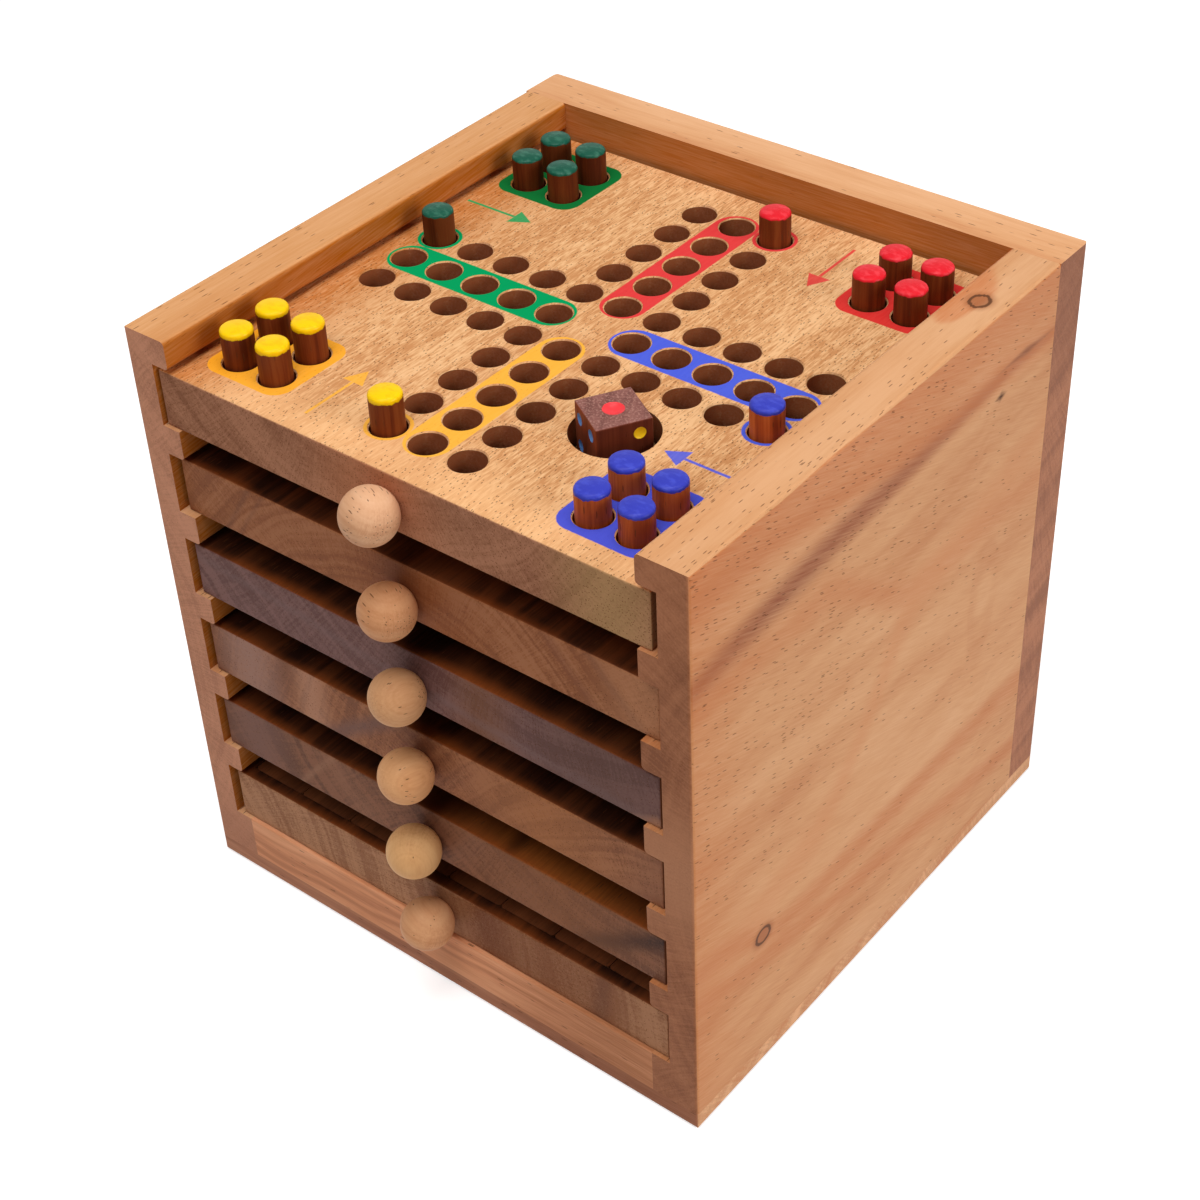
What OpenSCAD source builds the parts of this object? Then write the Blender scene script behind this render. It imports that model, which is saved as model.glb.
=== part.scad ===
// Game cabinet of solid wood: an open-fronted case with six board trays that slide in grooves.
// The top tray is a ludo board with wooden pegs and a die, and the five below hold other games.
// Origin: centre of the case's footprint on the floor. +X is right, +Y is back, +Z is up.

/* [Case] */
// Width of the case across the front
cab_w = 145; // [140:1:180]
// Depth of the case from its front edges to the back
cab_d = 142; // [136:1:180]
// Thickness of each side panel
side_t = 12; // [10:0.5:15]
// Thickness of the back panel
back_t = 12; // [8:0.5:15]
// Thickness of the base board between the sides
base_t = 12; // [8:0.5:20]
// Thickness of the plate under the whole case
plate_t = 5; // [3:0.5:10]
// Height of the side panels above the top groove
lip_h = 6.8; // [4:0.1:14]
// Easing of the case's outer edges
edge_ease = 0.8; // [0.3:0.1:1.5]
// Rounding of the inner top edge of each side panel
lip_round = 1; // [0.2:0.1:1.5]
// Rounding of the plate's lower edges
plate_round = 1.2; // [0.3:0.1:2.5]
// Rounding of the case's upright back corners
back_round = 1.8; // [0.5:0.1:4]

/* [Grooves] */
// Step from one groove up to the next
slot_pitch = 22.4; // [20.5:0.1:28]
// Depth of a groove into its side panel
slot_deep = 4.75; // [3.5:0.05:6]
// Rounding of the lower corners of the ribs and the lip
rib_round = 1; // [0.4:0.1:1.8]

/* [Trays] */
// Thickness of a tray
tray_t = 13.8; // [11.5:0.1:16.6]
// Play between a tray's edge and the bottom of its groove, each side
tray_play_side = 1.25; // [0.5:0.05:2]
// Play above a tray in its grooves
tray_play_top = 1.4; // [0.8:0.1:2.5]
// Play behind a tray whose front is level with the case's front edges
tray_play_back = 2; // [1.9:0.1:6]
// Easing of a tray's edges
tray_ease = 0.5; // [0.2:0.1:1]

/* [Knobs] */
// Diameter of a knob's ball
knob_d = 12.3; // [9:0.1:15]
// Depth of the flat that seats the ball on its tray
knob_flat = 0.5; // [0.35:0.05:1.2]
// Drop of a knob below the tray's mid-height
knob_drop = 0.8; // [0:0.1:1]
// Diameter of a knob's tenon
tenon_d = 4; // [2.5:0.1:4.8]
// Length of a tenon in its tray
tenon_l = 6; // [4:0.1:7]
// Glue gap round a tenon
tenon_gap = 0.05; // [0.02:0.01:0.1]

/* [Pegs and peg holes] */
// Diameter of a peg
peg_d = 7.1; // [5.5:0.1:8.6]
// Gap between a peg and its hole, all round
peg_gap = 0.45; // [0.3:0.05:0.6]
// Depth of a peg hole
hole_deep = 7.4; // [5:0.1:9]
// Chamfer at the mouth of a peg hole
hole_ease = 0.3; // [0.1:0.05:0.5]
// Space between a peg's top and the tray above it
peg_headroom = 1.1; // [0.6:0.1:3]
// Radius of the crown on a peg's top
peg_crown = 13; // [6:0.5:20]
// Rounding between a peg's crown and its side
peg_round = 0.8; // [0.4:0.1:1.5]
// Chamfer at a peg's foot
peg_foot = 0.4; // [0.2:0.1:0.8]

/* [Ludo board] */
// Distance from the tray's edge to the outer holes' centres
board_margin = 12.2; // [10.5:0.1:14]
// Diameter of the die well
well_d = 18.8; // [18:0.1:22]
// Depth of the die well
well_deep = 6.8; // [3:0.1:8]
// Place of the well from the board's centre, in steps of the peg holes
well_steps = 2.65; // [2.5:0.05:2.7]
// Edge of the die
die_a = 12; // [9:0.1:12.4]
// Rounding of the die's edges
die_round = 0.4; // [0.3:0.1:1.5]
// Turn of the die in its well
die_turn = -31; // [-45:1:45]

/* [Other boards] */
// Step between the holes of the peg solitaire board
solitaire_step = 15; // [12:0.1:17]
// Step between the three squares of the morris board
morris_step = 15; // [12:0.1:17]
// Side of a square on the draughts board
draught_square = 14; // [11.5:0.1:14.5]
// Step between the holes of the noughts and crosses board
noughts_step = 30; // [20:0.5:32]
// Step between the spare pegs stored beside that board
store_step = 20; // [12:0.5:24]
// Distance of the spare pegs from the tray's edge
store_margin = 14; // [10:0.5:15]
// Width of the lines cut in the boards
line_w = 0.9; // [0.5:0.1:1.5]
// Depth of the lines cut in the boards
line_deep = 0.5; // [0.3:0.1:1]

/* [Dominoes] */
// Width of the rim round the domino recess
rim_w = 3; // [2.5:0.1:4]
// Depth of the domino recess
recess_deep = 5; // [3:0.1:5.2]
// Thickness of a domino
tile_t = 4.8; // [3:0.1:8]
// Gap between neighbouring dominoes
tile_gap = 0.22; // [0.1:0.02:0.5]
// Least width of the finger strip behind the dominoes
finger_w = 14; // [8:0.5:24]
// Rounding of a domino's corners
tile_round = 0.8; // [0.3:0.1:2]
// Diameter of a domino's drilled pips
pip_d = 1.9; // [1:0.1:2.4]

/* [Hidden] */
TRAYS = 6;
// How far each tray stands behind the case's front edges, from the top tray down
tray_set = [0.8, 1.7, 1.1, 1.2, 1.1, 0.9];
// How far each tray lies to the right of the middle, as a share of its side play
tray_shift = [-0.6, 0, 0, 0, 0, 0.35];
// How far each knob was drilled off its place, across and up
knob_set = [[0, 0.7], [0, -0.8], [0.4, -0.4], [0, -0.3], [-0.3, -0.3], [0.9, 0.6]];

// Case
slot_h = tray_t + tray_play_top;
base_top = plate_t + base_t;
cab_h = base_top + (TRAYS - 1) * slot_pitch + slot_h + lip_h;
panel_h = cab_h - plate_t;
front_y = -cab_d / 2;
back_y = cab_d / 2 - back_t;
side_d = back_y - front_y;
inner_w = cab_w - 2 * side_t;

// Trays: size, the middle of tray k's width and depth, and its height
tray_w = inner_w + 2 * (slot_deep - tray_play_side);
tray_d = side_d - tray_play_back;
function tray_x(k) = tray_shift[k - 1] * tray_play_side;
function tray_y(k) = front_y + tray_set[k - 1] + tray_d / 2;
function tray_z(k) = base_top + (TRAYS - k) * slot_pitch;
// A knob's place on its tray's front edge
function knob_at(k) = [knob_set[k - 1][0], -tray_d / 2, tray_t / 2 - knob_drop + knob_set[k - 1][1]];

// Pegs: they stand as high as the gap under the tray above allows
hole_r = peg_d / 2 + peg_gap;
peg_l = hole_deep + slot_pitch - tray_t - peg_headroom;

// Ludo board: an 11 by 11 grid of places, numbered from the front left
LAST = 10;
MID = LAST / 2;
grid_step = (min(tray_w, tray_d) - 2 * board_margin) / LAST;
// The cross of places, and the yard of four at each corner
function in_cross(i, j) = min(abs(i - MID), abs(j - MID)) <= 1 && !(i == MID && j == MID);
function in_yard(i, j) = min(i, LAST - i) <= 1 && min(j, LAST - j) <= 1;
ludo_places = [for (i = [0:LAST]) for (j = [0:LAST]) if (in_cross(i, j) || in_yard(i, j)) [i, j]];
// A place carried a quarter turn round the board, n times
function turned(p, n) = n == 0 ? p : turned([p[1], LAST - p[0]], n - 1);
function on_grid(p) = [(p[0] - MID) * grid_step, (p[1] - MID) * grid_step];
// Each side's pegs: four in its yard and one on its start, from the front left round to the right
SIDES = ["yellow", "green", "red", "blue"];
SIDE_COLOURS = ["gold", "seagreen", "firebrick", "steelblue"];
// How much longer than the other boards' pegs each side's pegs are cut
side_extra = [1.1, 0.2, 0.2, -0.2];
PEGS_EACH = 5;
home_places = [[0, 0], [1, 0], [0, 1], [1, 1], [4, 0]];
well_at = [well_steps * grid_step, -well_steps * grid_step];
// The die lies a little off the middle of its well
die_set = [-0.2, 0.1];

// The die's pips: the single one is the largest
pip_step = die_a * 0.26;
die_pip_d = die_a * 0.215;
die_pip_deep = 0.45;
ace_d = 4.5;
ace_deep = 0.7;

// Holes of the other boards, about the board's centre
cross_places = [for (i = [-3:3]) for (j = [-3:3]) if (min(abs(i), abs(j)) <= 1) [i, j] * solitaire_step];
solitaire_places = [for (p = cross_places) if (norm(p) > 0) p];
SQUARES = 3;
morris_places = [for (s = [1:SQUARES]) for (i = [-1:1]) for (j = [-1:1]) if (i != 0 || j != 0)
    [i, j] * s * morris_step];
DRAUGHTS = 8;
draught_places = [for (i = [0:DRAUGHTS - 1]) for (j = [0:DRAUGHTS - 1]) if ((i + j) % 2 == 0)
    [i - (DRAUGHTS - 1) / 2, j - (DRAUGHTS - 1) / 2] * draught_square];
noughts_places = [for (i = [-1:1]) for (j = [-1:1]) [i, j] * noughts_step];
store_x = tray_w / 2 - store_margin;
store_places = [for (j = [-2:2]) [store_x, j * store_step]];

// Dominoes: every pair from blank to six, laid in three rows of eight and one row of four across
TOP_PIPS = 6;
COLS = 8;
ROWS = 3;
tile_pairs = [for (a = [0:TOP_PIPS]) for (b = [a:TOP_PIPS]) [a, b]];
recess_w = tray_w - 2 * rim_w;
recess_d = tray_d - 2 * rim_w;
tile_w = min((recess_w - (COLS + 1) * tile_gap) / COLS,
             (recess_d - finger_w - (ROWS + 2) * tile_gap) / (2 * ROWS + 1));
tile_l = 2 * tile_w + tile_gap;
tile_pip_step = tile_w * 0.27;
tile_pip_deep = 0.4;

// Length by which a cutter runs past the face that it opens
over = 1;
$fn = 48;

// What a rounding takes off a corner at the origin, where the wood fills the first quadrant
module corner(r) {
    difference() {
        translate([-over, -over]) square(r + over);
        translate([r, r]) circle(r);
    }
}

// A rectangle about the origin with round corners
module rounded(w, d, r) {
    square([w - 2 * r, d], center = true);
    square([w, d - 2 * r], center = true);
    for (x = [-1, 1]) for (y = [-1, 1]) translate([x * (w / 2 - r), y * (d / 2 - r)]) circle(r);
}

// A board on the plane z = 0 with all its edges eased
module eased_board(w, d, t, r) {
    intersection() {
        linear_extrude(t) rounded(w, d, r);
        rotate([90, 0, 0]) linear_extrude(d, center = true) translate([0, t / 2]) rounded(w, t, r);
        rotate([90, 0, 90]) linear_extrude(w, center = true) translate([0, t / 2]) rounded(d, t, r);
    }
}

// A side panel's end view: inner face at x = 0, with a groove for each tray and ribs between them
module side_outline() {
    difference() {
        square([side_t, panel_h]);
        for (k = [1:TRAYS]) translate([0, tray_z(k) - plate_t]) {
            translate([-over, 0]) square([slot_deep + over, slot_h]);
            translate([0, slot_h]) corner(rib_round);
        }
        translate([side_t, panel_h]) rotate(180) corner(edge_ease);
        translate([0, panel_h]) rotate(270) corner(lip_round);
    }
}

module right_side_panel() {
    color("burlywood") difference() {
        translate([inner_w / 2, back_y, plate_t])
            rotate([90, 0, 0]) linear_extrude(side_d) side_outline();
        translate([cab_w / 2, front_y, 0]) linear_extrude(cab_h + over) rotate(90) corner(edge_ease);
    }
}

module left_side_panel() {
    mirror([1, 0, 0]) right_side_panel();
}

// The plan of the back panel or the plate: front corners eased, back corners rounded
module plan(depth) {
    difference() {
        translate([-cab_w / 2, cab_d / 2 - depth]) square([cab_w, depth]);
        for (m = [0, 1]) mirror([m, 0, 0]) {
            translate([cab_w / 2, cab_d / 2]) rotate(180) corner(back_round);
            if (depth == cab_d) translate([cab_w / 2, front_y]) rotate(90) corner(edge_ease);
        }
    }
}

module back_panel() {
    color("peru") difference() {
        translate([0, 0, plate_t]) linear_extrude(panel_h) plan(back_t);
        translate([0, cab_d / 2, cab_h])
            rotate([90, 0, 90]) linear_extrude(cab_w + over, center = true) rotate(180) corner(edge_ease);
    }
}

module base_board() {
    color("sienna") difference() {
        translate([-inner_w / 2, front_y, plate_t]) cube([inner_w, side_d, base_t]);
        translate([0, front_y, base_top])
            rotate([90, 0, 90]) linear_extrude(inner_w + over, center = true)
            rotate(270) corner(edge_ease / 2);
    }
}

// Only the plate's lower edges are rounded: its upper ones are flush with the panels on it
module bottom_plate() {
    color("saddlebrown") intersection() {
        linear_extrude(plate_t) plan(cab_d);
        rotate([90, 0, 0]) linear_extrude(cab_d, center = true)
            translate([0, plate_t]) rounded(cab_w, 2 * plate_t, plate_round);
        rotate([90, 0, 90]) linear_extrude(cab_w, center = true)
            translate([0, plate_t]) rounded(cab_d, 2 * plate_t, plate_round);
    }
}

// Carries its children to the place of tray k: x and y about the board's centre, z from its underside
module on_tray(k) {
    translate([tray_x(k), tray_y(k), tray_z(k)]) children();
}

// Tray k before its board is cut: an eased board with the blind hole for its knob's tenon
module blank(k) {
    difference() {
        eased_board(tray_w, tray_d, tray_t, tray_ease);
        translate(knob_at(k) - [0, over, 0])
            rotate([-90, 0, 0]) cylinder(h = tenon_l + tenon_gap + over, r = tenon_d / 2 + tenon_gap);
    }
}

// A ball knob with a flat at the back, turned in one piece with its tenon
module knob(k) {
    color("tan") on_tray(k) translate(knob_at(k)) {
        difference() {
            translate([0, knob_flat - knob_d / 2, 0]) sphere(d = knob_d);
            translate([-knob_d / 2, 0, -knob_d / 2]) cube([knob_d, knob_flat + over, knob_d]);
        }
        translate([0, -over, 0]) rotate([-90, 0, 0]) cylinder(h = tenon_l + over, d = tenon_d);
    }
}

// Drilled peg holes at a list of places, with eased mouths
module peg_holes(places) {
    for (p = places) translate([p[0], p[1], tray_t]) rotate_extrude() polygon([
        [0, -hole_deep], [hole_r, -hole_deep], [hole_r, -hole_ease],
        [hole_r + hole_ease + over, over], [0, over]
    ]);
}

// A line cut in a board from one point to another
module cut_line(a, b) {
    run = b - a;
    translate([(a[0] + b[0]) / 2, (a[1] + b[1]) / 2, tray_t]) rotate(atan2(run[1], run[0]))
        cube([norm(run) + line_w, line_w, 2 * line_deep], center = true);
}

function arc(c, r, from, to, steps) = [for (i = [0:steps])
    c + r * [cos(from + (to - from) * i / steps), sin(from + (to - from) * i / steps)]];

// Half the outline of a peg of length l: a chamfered foot, a straight side, a rounded edge, a crown
function peg_outline(l) =
    let (r = peg_d / 2,
         crown_c = [0, l - peg_crown],
         edge_x = r - peg_round,
         edge_c = crown_c + [edge_x, sqrt(pow(peg_crown - peg_round, 2) - pow(edge_x, 2))],
         meet = acos(edge_x / (peg_crown - peg_round)))
    concat([[0, 0], [r - peg_foot, 0], [r, peg_foot]],
           arc(edge_c, peg_round, 0, meet, 4),
           [for (i = [1:3]) crown_c + peg_crown * [cos(meet + (90 - meet) * i / 3),
                                                   sin(meet + (90 - meet) * i / 3)]]);

// Pegs standing in a board's holes at a list of places
module pegs(places, extra = 0) {
    for (p = places) translate([p[0], p[1], tray_t - hole_deep])
        rotate_extrude() polygon(peg_outline(peg_l + extra));
}

// The dimple that a round-nosed drill leaves in the plane z = 0
module dimple(d, deep) {
    r = (d * d / 4 + deep * deep) / (2 * deep);
    translate([0, 0, r - deep]) sphere(r);
}

// Places of n pips on a square face, as on dice and dominoes
function pips(n) = concat(
    n % 2 == 1 ? [[0, 0]] : [],
    n > 1 ? [[-1, 1], [1, -1]] : [],
    n > 3 ? [[-1, -1], [1, 1]] : [],
    n == TOP_PIPS ? [[-1, 0], [1, 0]] : []
);

module ludo_tray() {
    color("goldenrod") on_tray(1) difference() {
        blank(1);
        peg_holes([for (p = ludo_places) on_grid(p)]);
        translate([well_at[0], well_at[1], tray_t - well_deep]) cylinder(h = well_deep + over, d = well_d);
    }
}

module ludo_peg(side, n) {
    color(SIDE_COLOURS[side]) on_tray(1)
        pegs([on_grid(turned(home_places[n - 1], side))], side_extra[side]);
}

// The die shows one on top, two to the right, four in front, and opposite faces add up to seven
module die() {
    turns = [[0, 0, 0], [0, 90, 0], [-90, 0, 0], [90, 0, 0], [0, -90, 0], [180, 0, 0]];
    color("sienna") on_tray(1)
        translate([well_at[0] + die_set[0], well_at[1] + die_set[1], tray_t - well_deep + die_a / 2])
        rotate(die_turn) difference() {
            translate([0, 0, -die_a / 2]) eased_board(die_a, die_a, die_a, die_round);
            for (n = [1:TOP_PIPS]) rotate(turns[n - 1]) translate([0, 0, die_a / 2]) {
                if (n == 1) dimple(ace_d, ace_deep);
                else for (p = pips(n)) translate([p[0], p[1], 0] * pip_step) dimple(die_pip_d, die_pip_deep);
            }
        }
}

module solitaire_tray() {
    color("indianred") on_tray(2) difference() {
        blank(2);
        peg_holes(cross_places);
    }
}

module solitaire_pegs() {
    color("wheat") on_tray(2) pegs(solitaire_places);
}

module morris_tray() {
    color("rosybrown") on_tray(3) difference() {
        blank(3);
        peg_holes(morris_places);
        for (n = [0:3]) rotate(90 * n) {
            for (s = [1:SQUARES]) cut_line([-s, -s] * morris_step, [s, -s] * morris_step);
            cut_line([0, -1] * morris_step, [0, -SQUARES] * morris_step);
        }
    }
}

module morris_pegs_light() {
    color("wheat") on_tray(3) pegs([for (p = morris_places) if (p[0] < 0) p]);
}

module morris_pegs_dark() {
    color("sienna") on_tray(3) pegs([for (p = morris_places) if (p[0] > 0) p]);
}

module draughts_tray() {
    half = DRAUGHTS / 2;
    color("darkkhaki") on_tray(4) difference() {
        blank(4);
        peg_holes(draught_places);
        for (i = [-half:half]) {
            cut_line([i, -half] * draught_square, [i, half] * draught_square);
            cut_line([-half, i] * draught_square, [half, i] * draught_square);
        }
    }
}

// Each side's men fill the dark squares of its three nearest rows
module draughts_pegs_light() {
    color("wheat") on_tray(4) pegs([for (p = draught_places) if (p[1] < -draught_square) p]);
}

module draughts_pegs_dark() {
    color("sienna") on_tray(4) pegs([for (p = draught_places) if (p[1] > draught_square) p]);
}

module noughts_tray() {
    color("goldenrod") on_tray(5) difference() {
        blank(5);
        peg_holes(concat(noughts_places, store_places, [for (p = store_places) -p]));
        for (n = [0:3]) rotate(90 * n)
            cut_line([-1.5, 0.5] * noughts_step, [1.5, 0.5] * noughts_step);
    }
}

// The noughts have a dimple drilled in their crowns, and the crosses two crossed saw cuts
module noughts_pegs() {
    color("wheat") on_tray(5) difference() {
        pegs([for (p = store_places) -p]);
        for (p = store_places) translate([-p[0], -p[1], tray_t - hole_deep + peg_l])
            dimple(peg_d * 0.55, line_w);
    }
}

module crosses_pegs() {
    color("sienna") on_tray(5) difference() {
        pegs(store_places);
        for (p = store_places) for (a = [45, 135])
            translate([p[0], p[1], tray_t - hole_deep + peg_l]) rotate(a)
            cube([peg_d + over, line_w, 2 * line_w], center = true);
    }
}

module domino_tray() {
    color("tan") on_tray(6) difference() {
        blank(6);
        translate([-recess_w / 2, -recess_d / 2, tray_t - recess_deep])
            cube([recess_w, recess_d, recess_deep + over]);
    }
}

// One domino about the origin, its long side along Y: two halves of pips and a line between them
module domino(pair) {
    difference() {
        linear_extrude(tile_t) rounded(tile_w, tile_l, tile_round);
        translate([0, 0, tile_t]) {
            cube([tile_w - 2 * tile_round, line_w, line_w], center = true);
            for (half = [0, 1]) for (p = pips(pair[half]))
                translate([p[0] * tile_pip_step, (half - 0.5) * tile_w + p[1] * tile_pip_step, -tile_pip_deep])
                cylinder(h = tile_pip_deep + over, d = pip_d);
        }
    }
}

// Row r of the dominoes, counted from the front: the last row lies across the tray
module dominoes(r) {
    first = (r - 1) * COLS;
    across = r > ROWS;
    count = across ? len(tile_pairs) - first : COLS;
    step = (across ? tile_l : tile_w) + tile_gap;
    depth = across ? tile_w : tile_l;
    row_y = -recess_d / 2 + (r - 1) * (tile_l + tile_gap) + tile_gap + depth / 2;
    color("linen") on_tray(6) for (i = [0:count - 1])
        translate([(i - (count - 1) / 2) * step, row_y, tray_t - recess_deep])
        rotate(across ? 90 : 0) domino(tile_pairs[first + i]);
}

left_side_panel();
right_side_panel();
back_panel();
base_board();
bottom_plate();
ludo_tray();
solitaire_tray();
morris_tray();
draughts_tray();
noughts_tray();
domino_tray();
for (k = [1:TRAYS]) knob(k);
for (s = [0:3]) for (n = [1:PEGS_EACH])
    ludo_peg(s, n);
die();
solitaire_pegs();
morris_pegs_light();
morris_pegs_dark();
draughts_pegs_light();
draughts_pegs_dark();
noughts_pegs();
crosses_pegs();
for (r = [1:ROWS + 1]) dominoes(r);
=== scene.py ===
import math
from types import SimpleNamespace

import bpy
from mathutils import Euler, Matrix, Vector


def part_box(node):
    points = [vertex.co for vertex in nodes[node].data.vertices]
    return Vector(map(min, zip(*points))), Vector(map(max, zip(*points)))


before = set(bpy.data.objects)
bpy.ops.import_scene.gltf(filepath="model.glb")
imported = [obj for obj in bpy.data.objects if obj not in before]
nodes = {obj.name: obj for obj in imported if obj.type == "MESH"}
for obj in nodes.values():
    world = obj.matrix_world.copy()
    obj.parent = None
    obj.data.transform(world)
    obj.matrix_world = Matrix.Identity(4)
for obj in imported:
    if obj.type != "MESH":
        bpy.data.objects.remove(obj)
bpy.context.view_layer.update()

# Camera and lamps
# The camera stands to the front right of the cabinet and well above it. Three large soft lamps
# light it: one overhead, one from high in front, and one from the right for the side panel.
scene = bpy.context.scene
scene.view_settings.view_transform = "Standard"
camera_place = (0.2583, -0.3158, 0.3909)
heading, dip, roll = 0.6997, 0.6716, -0.0489
camera = bpy.data.cameras.new("camera")
camera.sensor_width = 36.0
camera.lens = 67.43
camera_object = bpy.data.objects.new("camera", camera)
scene.collection.objects.link(camera_object)
camera_turn = Euler((math.pi / 2 - dip, 0.0, heading)).to_matrix() @ Matrix.Rotation(roll, 3, "Z")
camera_object.matrix_world = Matrix.Translation(camera_place) @ camera_turn.to_4x4()
scene.camera = camera_object
CABINET_MIDDLE = Vector((0.0, 0.0, 0.08))


def softbox(name, place, size, power):
    """A square lamp that faces the middle of the cabinet: metres and watts."""
    lamp = bpy.data.lights.new(name, "AREA")
    lamp.size = size
    lamp.energy = power
    lamp_object = bpy.data.objects.new(name, lamp)
    lamp_object.location = place
    facing = CABINET_MIDDLE - Vector(place)
    lamp_object.rotation_euler = facing.to_track_quat("-Z", "Y").to_euler()
    scene.collection.objects.link(lamp_object)


softbox("lamp_over", (0.05, -0.02, 1.10), 0.60, 5.6)
softbox("lamp_front", (0.02, -0.58, 1.05), 0.60, 4.5)
softbox("lamp_right", (1.10, 0.10, 0.55), 0.50, 6.0)


# Floor and surroundings
# A white paper floor that keeps the cabinet's shadow. To the camera, and in reflections, the
# floor and what lies round it look white, while the light that they give stays plain.
class Shade:
    """A socket of a node tree that takes plain arithmetic: each sign adds its Math node."""

    def __init__(self, tree, socket):
        self.tree = tree
        self.socket = socket

    def node(self, kind, settings, sockets, out=0):
        """Adds a node: its settings are set first, then the values or links of its sockets."""
        made = self.tree.nodes.new(kind)
        for name, value in settings.items():
            if name == "stops":
                ramp = made.color_ramp
                while len(ramp.elements) < len(value):
                    ramp.elements.new(0.5)
                for element, (position, tone) in zip(ramp.elements, value):
                    element.position = position
                    element.color = (*tone, 1.0)
            else:
                setattr(made, name, value)
        for key, value in sockets.items():
            if isinstance(value, Shade):
                self.tree.links.new(made.inputs[key], value.socket)
            else:
                made.inputs[key].default_value = value
        return Shade(self.tree, made.outputs[out])

    def other(self, name):
        """Another output of the node that this one comes from."""
        return Shade(self.tree, self.socket.node.outputs[name])

    def worked(self, operation, *values):
        """A Math node on this number and the given ones."""
        sockets = dict(enumerate((self,) + values))
        return self.node("ShaderNodeMath", {"operation": operation}, sockets)

    def __add__(self, other):
        return self.worked("ADD", other)

    def __sub__(self, other):
        return self.worked("SUBTRACT", other)

    def __mul__(self, other):
        return self.worked("MULTIPLY", other)

    def __truediv__(self, other):
        return self.worked("DIVIDE", other)

    def __neg__(self):
        return self * -1.0

    def __rsub__(self, other):
        return -self + other

    __radd__ = __add__
    __rmul__ = __mul__

    def abs(self):
        return self.worked("ABSOLUTE")

    def root(self):
        return self.worked("SQRT")

    def most(self, other):
        return self.worked("MAXIMUM", other)

    def least(self, other):
        return self.worked("MINIMUM", other)

    def rise(self, low, high):
        """0 up to low and 1 from high, or 1 up to high and 0 from low where high is smaller."""
        sockets = {0: self, 1: low, 2: high, 3: 0.0, 4: 1.0}
        if high < low:
            sockets = {0: self, 1: high, 2: low, 3: 1.0, 4: 0.0}
        return self.node("ShaderNodeMapRange", {"interpolation_type": "SMOOTHSTEP"}, sockets)

    def parts(self):
        """The three numbers of this vector or colour."""
        return [self.node("ShaderNodeSeparateXYZ", {}, {0: self}, out) for out in range(3)]

    def vector(self, x, y, z):
        """A new vector in this one's tree."""
        return self.node("ShaderNodeCombineXYZ", {}, {0: x, 1: y, 2: z})

    def noise(self, detail=2.0, rough=0.5, out=0):
        """Noise at this vector, which already counts in the pattern's own steps."""
        sockets = {"Vector": self, "Scale": 1.0, "Detail": detail, "Roughness": rough}
        return self.node("ShaderNodeTexNoise", {}, sockets, out)

    def rings(self, detail=2.0):
        """Noise along this one number."""
        sockets = {"W": self, "Scale": 1.0, "Detail": detail}
        return self.node("ShaderNodeTexNoise", {"noise_dimensions": "1D"}, sockets)

    def ramp(self, *stops):
        """The colours of these stops, read at this number."""
        return self.node("ShaderNodeValToRGB", {"stops": stops}, {0: self})

    def mix(self, first, second):
        """A colour: the first where this is 0, the second where it is 1."""
        first, second = ((*c, 1.0) if isinstance(c, tuple) else c for c in (first, second))
        return self.node("ShaderNodeMix", {"data_type": "RGBA"}, {0: self, 6: first, 7: second}, 2)


FLOOR_SIZE = 6.0
bpy.ops.object.select_all(action="DESELECT")
bpy.ops.mesh.primitive_plane_add(size=FLOOR_SIZE, location=(0, 0, 0))
floor = bpy.context.object
floor.name = "floor"
paper = bpy.data.materials.new("floor_paper")
paper.use_nodes = True
paper_skin = paper.node_tree.nodes["Principled BSDF"]
paper_skin.inputs["Base Color"].default_value = (0.80, 0.80, 0.80, 1.0)
paper_skin.inputs["Roughness"].default_value = 0.9
paper_skin.inputs["Specular IOR Level"].default_value = 0.0
paper_skin.inputs["Emission Strength"].default_value = 1.0


def seen_rays(tree):
    """1 on rays from the camera, a mirror or glass, and 0 on rays that carry light."""
    path = tree.nodes.new("ShaderNodeLightPath")
    rays = [Shade(tree, path.outputs[name]) for name in
            ("Is Camera Ray", "Is Glossy Ray", "Is Transmission Ray")]
    return rays[0].most(rays[1]).most(rays[2])


FLOOR_GLOW = 0.60
glow = seen_rays(paper.node_tree).mix((0.0, 0.0, 0.0), (FLOOR_GLOW,) * 3)
paper.node_tree.links.new(paper_skin.inputs["Emission Color"], glow.socket)
floor.data.materials.append(paper)

WORLD_LIGHT = 0.12
world = bpy.data.worlds.new("surroundings")
scene.world = world
world.use_nodes = True
backdrop = world.node_tree.nodes["Background"]
backdrop.inputs["Color"].default_value = (1.0, 1.0, 1.0, 1.0)
strength = seen_rays(world.node_tree) * (1.0 - WORLD_LIGHT) + WORLD_LIGHT
world.node_tree.links.new(backdrop.inputs["Strength"], strength.socket)

# Side panels
# Two boards of oiled hardwood with a groove for each tray. Their grain runs from front to
# back, so the front edges show end grain. Bands of heartwood and knots cross the right one.
MM = 1000.0
WANDER_LONG, WANDER_WIDE, WANDER_FAR = 60.0, 28.0, 7.0
CLOUD_LONG, CLOUD_WIDE = 45.0, 10.0
FIBRE_WIDE, PORE_WIDE, GRIT_WIDE = 0.45, 0.55, 0.5
RAYS_ROUND_PITH = 170.0
TONE_STOPS = (0.2, 0.5, 0.8)
WOOD_DULL, PAINT_DULL = 0.48, 0.34
RELIEF_MM = 0.22
PORE_TONE = (0.10, 0.033, 0.011)
KNOT_TONE = (0.34, 0.105, 0.036)


def sheet(distance, width, strength, tone):
    """A coloured layer in the wood: distance tells how far it lies from x, y, z in mm."""
    return SimpleNamespace(distance=distance, width=width, strength=strength, tone=tone)


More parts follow.
